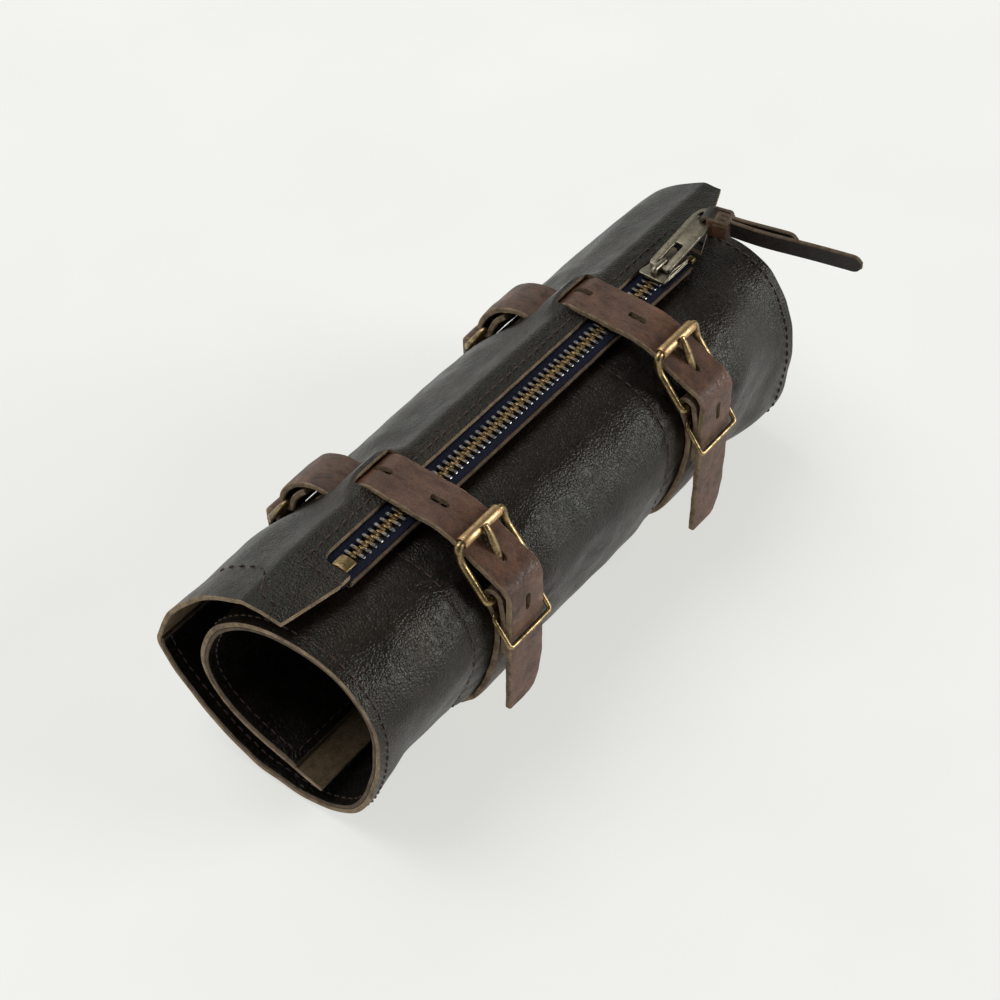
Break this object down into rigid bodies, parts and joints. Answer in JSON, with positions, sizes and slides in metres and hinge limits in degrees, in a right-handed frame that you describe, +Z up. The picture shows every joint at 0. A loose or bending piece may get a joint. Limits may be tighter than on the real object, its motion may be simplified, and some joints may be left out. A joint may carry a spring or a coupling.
{
  "type": "brush roll case",
  "caption": "Leather roll case for brushes, rolled up and held by buckled straps, with a zipped pocket along its overlapping flap and a leather thong on the zip pull.",
  "frame": {"origin": "on the surface that the case rests on, under the middle of the whole case: the middle of its bounding box, with the flap's far end, the rings and the thong counted", "axes": "+X along the roll towards the end where the zip closes, +Y towards the back where the rings are, +Z up; the buckles are on the -Y side"},
  "size_m": [0.291, 0.1354, 0.1178],
  "materials": {
    "case_leather": "glossy pull-up leather, near-black brown, greyer on the flap",
    "lining_leather": "smooth dark lining leather",
    "pocket_leather": "thin brown split leather",
    "strap_leather": "mid-brown waxed leather with raw tan edges",
    "zip_tape": "woven navy tape",
    "tooth_brass": "dull brass with bright edges",
    "old_brass": "aged brass",
    "grey_nickel": "worn warm-grey nickel plate",
    "thread": "waxed burgundy-brown thread"
  },
  "bodies": {
    "case": {"outer_panel": "case_leather", "liner_panel": "lining_leather", "brush_slot_panel": "lining_leather", "pocket_wall": "pocket_leather", "zip_tape_back": "zip_tape", "zip_tape_front": "zip_tape", "zip_teeth_back": "tooth_brass", "zip_teeth_front": "tooth_brass", "zip_box_stop": "old_brass", "zip_top_stops": "old_brass", "tip_strap_near": "strap_leather", "tip_strap_far": "strap_leather", "buckle_strap_near": "strap_leather", "buckle_strap_far": "strap_leather", "back_ring_near": "old_brass", "back_ring_far": "old_brass", "edge_thread": "thread", "seam_thread": "thread", "window_thread": "thread"},
    "slider": {"zip_slider": "grey_nickel"},
    "pull_tab": {"zip_pull_tab": "grey_nickel"},
    "thong": {"pull_thong": "strap_leather"},
    "frame_near": {"buckle_frame_near": "old_brass"},
    "roller_near": {"buckle_roller_near": "old_brass"},
    "prong_near": {"buckle_prong_near": "old_brass"},
    "keeper_near": {"strap_keeper_near": "old_brass"},
    "frame_far": {"buckle_frame_far": "old_brass"},
    "roller_far": {"buckle_roller_far": "old_brass"},
    "prong_far": {"buckle_prong_far": "old_brass"},
    "keeper_far": {"strap_keeper_far": "old_brass"}
  },
  "joints": [
    {"name": "zip_slide", "type": "slide", "parent": "case", "child": "slider", "axis": [1, 0, 0], "range_m": [-0.012, 0]},
    {"name": "pull_tab_hinge", "type": "hinge", "parent": "slider", "child": "pull_tab", "pos_m": [0.0845, -0.00296, 0.10745], "axis": [0, -1, 0], "range_deg": [0, 150]},
    {"name": "thong_swing", "type": "hinge", "parent": "pull_tab", "child": "thong", "pos_m": [0.11619, -0.00296, 0.11191], "axis": [-0.1392, 0, 0.9903], "range_deg": [-15, 160]},
    {"name": "frame_hinge_near", "type": "hinge", "parent": "case", "child": "frame_near", "pos_m": [-0.0695, -0.04516, 0.08475], "axis": [1, 0, 0], "range_deg": [0, 2]},
    {"name": "prong_hinge_near", "type": "hinge", "parent": "frame_near", "child": "prong_near", "pos_m": [-0.0695, -0.04516, 0.08475], "axis": [1, 0, 0], "range_deg": [0, 2]},
    {"name": "roller_spin_near", "type": "hinge", "parent": "frame_near", "child": "roller_near", "pos_m": [-0.0695, -0.03166, 0.10595], "axis": [1, 0, 0], "continuous": true},
    {"name": "keeper_swing_near", "type": "hinge", "parent": "case", "child": "keeper_near", "pos_m": [-0.0695, -0.04666, 0.07755], "axis": [1, 0, 0], "range_deg": [-25, 0]},
    {"name": "frame_hinge_far", "type": "hinge", "parent": "case", "child": "frame_far", "pos_m": [0.0545, -0.04516, 0.08475], "axis": [1, 0, 0], "range_deg": [0, 2]},
    {"name": "prong_hinge_far", "type": "hinge", "parent": "frame_far", "child": "prong_far", "pos_m": [0.0545, -0.04516, 0.08475], "axis": [1, 0, 0], "range_deg": [0, 2]},
    {"name": "roller_spin_far", "type": "hinge", "parent": "frame_far", "child": "roller_far", "pos_m": [0.0545, -0.03166, 0.10595], "axis": [1, 0, 0], "continuous": true},
    {"name": "keeper_swing_far", "type": "hinge", "parent": "case", "child": "keeper_far", "pos_m": [0.0545, -0.04666, 0.07755], "axis": [1, 0, 0], "range_deg": [-25, 0]}
  ]
}
